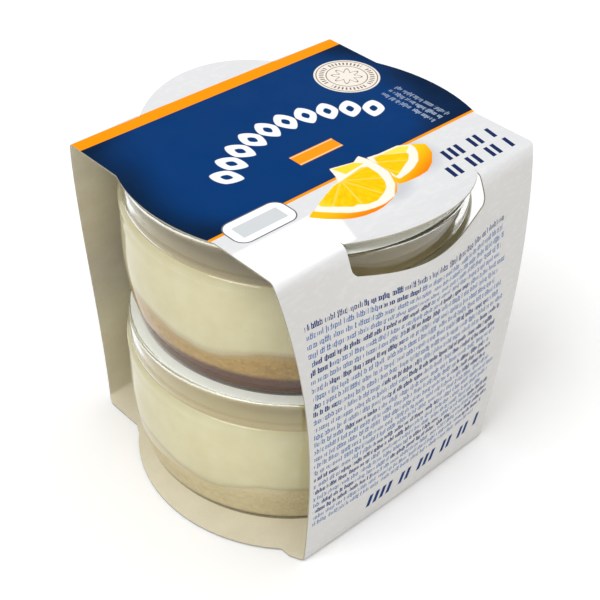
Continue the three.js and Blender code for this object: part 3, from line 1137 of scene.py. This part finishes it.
@dataclass(frozen=True)
class Cup:
    """One glass cup with its crumb, cream and lid, in millimetres from its foot."""

    level: str
    foot: float
    crumb: float
    crumb_slot: str
    centre: Point = (-1.5, 0.6)
    height: float = 34.9
    foot_radius: float = 32.3
    recess_radius: float = 29.0
    recess: float = 0.4
    heel: float = 0.4
    body_round: float = 18.0
    shoulder_radius: float = 35.15
    shoulder_height: float = 26.2
    ridge_radius: float = 35.2
    ridge_top: float = 28.3
    rim_radius: float = 34.7
    rim_round: float = 1.0
    mouth_radius: float = 32.4
    wall: float = 2.4
    floor: float = 1.3
    floor_round: float = 1.6
    cream: float = 27.3
    lid_radius: float = 34.2
    lid_thickness: float = 0.3
    lid_gap: float = 0.1
    press: float = 0.08
    sink: float = 0.6
    turns: int = 128
    waves: tuple[tuple[float, float, float], ...] = (
        (0.9, 4, 3.87), (0.8, 7, 6.02), (0.15, 11, 4), (0.12, 17, 1), (0.1, 26, 3), (0.08, 39, 5))

    def body(self, height: float) -> float:
        """Outer radius of the cup's wall, rounded up from the foot."""
        share = min(height / self.body_round, 1)
        return self.foot_radius + (self.shoulder_radius - self.foot_radius) * (1 - (1 - share) ** 2)

    def hollow(self, height: float) -> float:
        """Inner radius of the cup, with its rounded floor edge."""
        rise = min(max((height - self.floor) / self.floor_round, 0), 1)
        return self.body(height) - self.wall - self.floor_round * (1 - math.sqrt(1 - (1 - rise) ** 2))

    def filled(self, low: float, high: float, steps: int) -> list[Point]:
        """Line up the hollow, pressed a little into the glass, without its first point."""
        heights = [lerp(low, high, k / steps) for k in range(1, steps + 1)]
        return [(self.hollow(height) + self.press, height) for height in heights]

    def bead_profile(self) -> list[Point]:
        """Line of the ridge, with a tight lower edge, a rounder upper one and a shallow neck."""
        edge = self.ridge_radius + 0.15
        low, top = self.shoulder_height, self.ridge_top
        lower = [(edge - 0.45, low - 0.35)] + arc((edge - 0.4, low + 0.4), 0.4, -75, 0, 6)
        upper = [(edge, lerp(low, top, 0.45))] + arc((edge - 1.1, top - 0.9), 1.1, 0, 62, 8)
        neck = self.rim_radius - 0.1
        return lower + upper + [(neck + 0.05, top + 0.35), (neck, top + 0.7), (self.rim_radius, top + 1.4)]

    def glass_profile(self) -> list[Point]:
        """Closed line of the glass from the middle of its foot to the middle of its floor."""
        line = [(0.0, self.recess), (14.0, self.recess), (self.recess_radius - 0.3, self.recess),
                (self.recess_radius, self.recess - 0.1), (self.recess_radius + self.heel, 0.0)]
        line += arc((self.foot_radius - self.heel, self.heel), self.heel, -90, -22.5, 4)
        line += [(self.body(h), h) for h in (
            lerp(self.heel, self.shoulder_height - 1.2, k / 14) for k in range(15))]
        line += self.bead_profile()
        low = self.height - self.rim_round
        line += [(self.rim_radius, lerp(self.ridge_top, low, 0.6))]
        line += arc((self.rim_radius - self.rim_round, low), self.rim_round, 0, 90, 5)
        line += arc((self.mouth_radius + self.rim_round, low), self.rim_round, 90, 180, 5)
        inside = (32.5, 31.0, 29.0, 27.0, 24.0, 21.0, 17.0, 13.0, 10.0, 7.0, 4.8)
        line += [(self.hollow(height), height) for height in inside]
        for k in range(9):
            height = self.floor + self.floor_round * (1 - math.sin(math.radians(90 * k / 8)))
            line.append((self.hollow(height), height))
        return line + [(18.0, self.floor), (9.0, self.floor), (0.0, self.floor)]

    def crumb_profile(self) -> list[Point]:
        """Closed line of the crumb, from the middle of its foot to the middle of its top."""
        low = self.floor - self.sink
        base = self.floor + self.floor_round
        round_edge = 0.7
        out = self.hollow(base) + self.press - 0.25
        line = [(0.0, low), (9.0, low), (18.0, low)]
        line += arc((out - round_edge, low + round_edge), round_edge, -90, 0, 7)
        line += self.filled(base, self.crumb, 7)
        rim = self.hollow(self.crumb)
        return line + [(rim * s, self.crumb) for s in (0.96, 0.85, 0.7, 0.5, 0.25, 0.0)]

    def cream_profile(self) -> list[Point]:
        """Closed line of the cream, from the middle of its foot to the middle of its top."""
        rim = self.hollow(self.crumb)
        line = [(rim * s, self.crumb) for s in (0.0, 0.25, 0.5, 0.7, 0.85, 0.96)]
        line += [(rim + self.press, self.crumb)] + self.filled(self.crumb, self.cream, 12)
        rim = self.hollow(self.cream)
        dome = ((0.985, -0.25), (0.95, -0.4), (0.85, -0.3), (0.6, 0.0), (0.3, 0.15), (0.0, 0.2))
        return line + [(rim * s, self.cream + rise) for s, rise in dome]

    def lid_profile(self) -> list[Point]:
        """Closed line of the lid, whose edge is turned down a little."""
        low = self.height + self.lid_gap
        high = low + self.lid_thickness
        return [(0.0, low), (17.0, low), (self.lid_radius - 0.2, low), (self.lid_radius, low + 0.06),
                (self.lid_radius, high - 0.1), (self.lid_radius - 0.15, high), (17.0, high), (0.0, high)]

    def spun(self, name: str, profile: list[Point]) -> bpy.types.Object:
        """Spin a line of points round the cup's axis into a closed piece.

        Args:
            name: The piece's name.
            profile: Radius and height above the foot of each point.

        Returns:
            The piece.
        """
        bpy.ops.object.select_all(action="DESELECT")
        bpy.ops.mesh.primitive_plane_add(size=MM)
        piece = bpy.context.object
        piece.name = piece.data.name = name
        bpy.ops.object.mode_set(mode="EDIT")
        bpy.ops.mesh.select_mode(type="VERT")
        bpy.ops.mesh.select_all(action="SELECT")
        bpy.ops.mesh.merge(type="CENTER")
        bpy.ops.transform.translate(value=(
            (self.centre[0] + profile[0][0]) * MM, self.centre[1] * MM, (self.foot + profile[0][1]) * MM))
        for (radius, height), (next_radius, next_height) in pairwise(profile):
            step = ((next_radius - radius) * MM, 0, (next_height - height) * MM)
            bpy.ops.mesh.extrude_vertices_move(TRANSFORM_OT_translate={"value": step})
        bpy.ops.mesh.select_all(action="SELECT")
        bpy.ops.mesh.spin(steps=self.turns, angle=math.tau, axis=(0, 0, 1),
                          center=(self.centre[0] * MM, self.centre[1] * MM, 0))
        weld(0.005)
        return piece

    def wave(self, x: float, y: float) -> float:
        """Height of the uneven line between crumb and cream, at a point from the axis."""
        turn = math.atan2(y, x)
        total = sum(size * math.sin(lobes * turn + start) for size, lobes, start in self.waves)
        return total * math.hypot(x, y) / self.hollow(self.crumb)

    def ruffle(self, piece: bpy.types.Object) -> None:
        """Move a filling's points near the line between crumb and cream up or down with it.

        The attribute "rise" keeps how far above that line each point is, in millimetres.

        Args:
            piece: The crumb or the cream.
        """
        rise = piece.data.attributes.new("rise", "FLOAT", "POINT")
        middle = Vector((*self.centre, 0)) * MM
        for vertex in piece.data.vertices:
            x, y, z = ((vertex.co - middle) / MM)
            old = z - self.foot
            rise.data[vertex.index].value = old - self.crumb
            near = 1 - min(abs(old - self.crumb) / 6, 1)
            new = old + self.wave(x, y) * near
            spread = self.body(new) / self.body(old)
            vertex.co = middle + Vector((x * spread, y * spread, new + self.foot)) * MM

    def build(self, finishes: dict[str, Material]) -> None:
        """Model and dress the four pieces of the cup.

        Args:
            finishes: Finishes by the record's slot.
        """
        wants = (
            ("glass", self.glass_profile(), "cup_glass"),
            ("crumb", self.crumb_profile(), self.crumb_slot),
            ("cream", self.cream_profile(), "cream"),
            ("lid", self.lid_profile(), "lid_film"),
        )
        for part, profile, slot in wants:
            piece = self.spun(f"{part}_{self.level}_fine", profile)
            if part in ("crumb", "cream"):
                self.ruffle(piece)
            bpy.ops.object.shade_smooth_by_angle(angle=math.radians(50))
            settle(piece, (f"{part}_{self.level}",), (finishes[slot],))


@dataclass(frozen=True)
class View:
    """The photograph's camera, fitted to the pack's corners."""

    turn: float = math.radians(-44.72)
    lift: float = math.radians(38.41)
    roll: float = math.radians(2.4)
    target: tuple[float, float, float] = (-0.00217, -0.0028, 0.03668)
    distance: float = 0.2637
    lens: float = 74.64

    def place(self) -> None:
        """Add the camera and make it the scene's."""
        back = Vector((math.sin(self.turn) * math.cos(self.lift),
                       -math.cos(self.turn) * math.cos(self.lift), math.sin(self.lift)))
        right = Vector((0, 0, 1)).cross(back).normalized()
        up = back.cross(right)
        level = right * math.cos(self.roll) + up * math.sin(self.roll)
        upright = up * math.cos(self.roll) - right * math.sin(self.roll)
        spot = Vector(self.target) + back * self.distance
        bpy.ops.object.camera_add()
        camera = bpy.context.object
        camera.matrix_world = Matrix.Translation(spot) @ Matrix((level, upright, back)).transposed().to_4x4()
        camera.data.lens = self.lens
        camera.data.sensor_width = 36
        camera.data.clip_start = 0.01
        camera.data.clip_end = 20
        bpy.context.scene.camera = camera


@dataclass(frozen=True)
class Lamp:
    """One soft rectangular lamp, in metres and watts, that points at the pack's middle."""

    name: str
    spot: tuple[float, float, float]
    size: Point
    power: float

    def place(self) -> None:
        """Add the lamp."""
        spot = Vector(self.spot)
        bpy.ops.object.light_add(type="AREA", location=spot)
        lamp = bpy.context.object
        lamp.name = self.name
        lamp.data.shape = "RECTANGLE"
        lamp.data.size, lamp.data.size_y = self.size
        lamp.data.energy = self.power
        lamp.rotation_euler = (spot - Vector((0, 0, 0.035))).to_track_quat("Z", "Y").to_euler()


@dataclass(frozen=True)
class Studio:
    """Pale floor and soft white light."""

    sky: float = 0.72
    floor_size: float = 6.0
    floor_height: float = -0.0004
    lamps: tuple[Lamp, ...] = (
        Lamp("roof_softbox", (0, 0, 3.0), (2.4, 2.4), 10.6),
        Lamp("key_softbox", (-0.9, -0.05, 1.56), (0.8, 0.8), 11.0),
        Lamp("fill_softbox", (-0.2, -1.1, 0.45), (0.6, 0.5), 1.2),
    )

    def place(self, grain: Group) -> None:
        """Add the world, the floor and the lamps."""
        scene = bpy.context.scene
        scene.view_settings.view_transform = "Standard"
        world = bpy.data.worlds.new("studio")
        world.use_nodes = True
        scene.world = world
        sky = world.node_tree.nodes["Background"]
        sky.inputs[0].default_value = (1, 1, 1, 1)
        sky.inputs[1].default_value = self.sky
        for lamp in self.lamps:
            lamp.place()
        bpy.ops.mesh.primitive_plane_add(size=self.floor_size, location=(0, 0, self.floor_height))
        floor = bpy.context.object
        floor.name = "studio_floor"
        material, sketch, shader = material_of("studio_floor")
        cloud = sketch.use(grain, Vector=sketch.place())["Cloud"]
        sketch.give(shader, Base_Color=cloud.mix(paint(253, 253, 253), paint(255, 255, 255)),
                    Roughness=0.9, Specular_IOR_Level=0.1)
        floor.data.materials.append(material)


def main() -> None:
    """Build the view, the studio and every piece of the pack."""
    logging.basicConfig(level=logging.INFO, format="%(name)s %(message)s")
    View().place()
    plaster, rows, grain = plaster_group(), rows_group(), grain_group()
    Studio().place(grain)
    board = (
        BoardPrint().make(plaster, rows, grain),
        BareBoard("board_inside", paint(222, 215, 193), paint(213, 205, 182)).make(grain),
        BareBoard("board_edge", paint(170, 164, 147), paint(156, 150, 132)).make(grain),
    )
    Sleeve().build(board)
    glass = ClearFinish("cup_glass", (0.962, 0.985, 0.966, 1.0), 1.5, 0.012, 1.0, (0.95, 0.97, 0.95, 1.0))
    film = ClearFinish("lid_film", paint(251, 253, 248), 1.35, 0.22, 0.4, (0.8, 0.82, 0.78, 1.0))
    # Each crumb's third colour is painted shade near the cup's foot.
    pale = CrumbFinish("crumb_pale", paint(241, 225, 184), paint(228, 210, 167), paint(150, 136, 96),
                       paint(230, 216, 176), 1.6, 1.4)
    dark = CrumbFinish("crumb_dark", paint(214, 176, 102), paint(190, 150, 76), paint(98, 48, 4),
                       paint(208, 182, 124), 40.8, 1.5)
    finishes = {finish.name: finish.make(grain) for finish in (glass, film, CreamFinish(), pale, dark)}
    Cup("lower", 0.6, 9.2, "crumb_pale").build(finishes)
    Cup("upper", 36.0, 10.2, "crumb_dark").build(finishes)


if __name__ == "__main__":
    main()
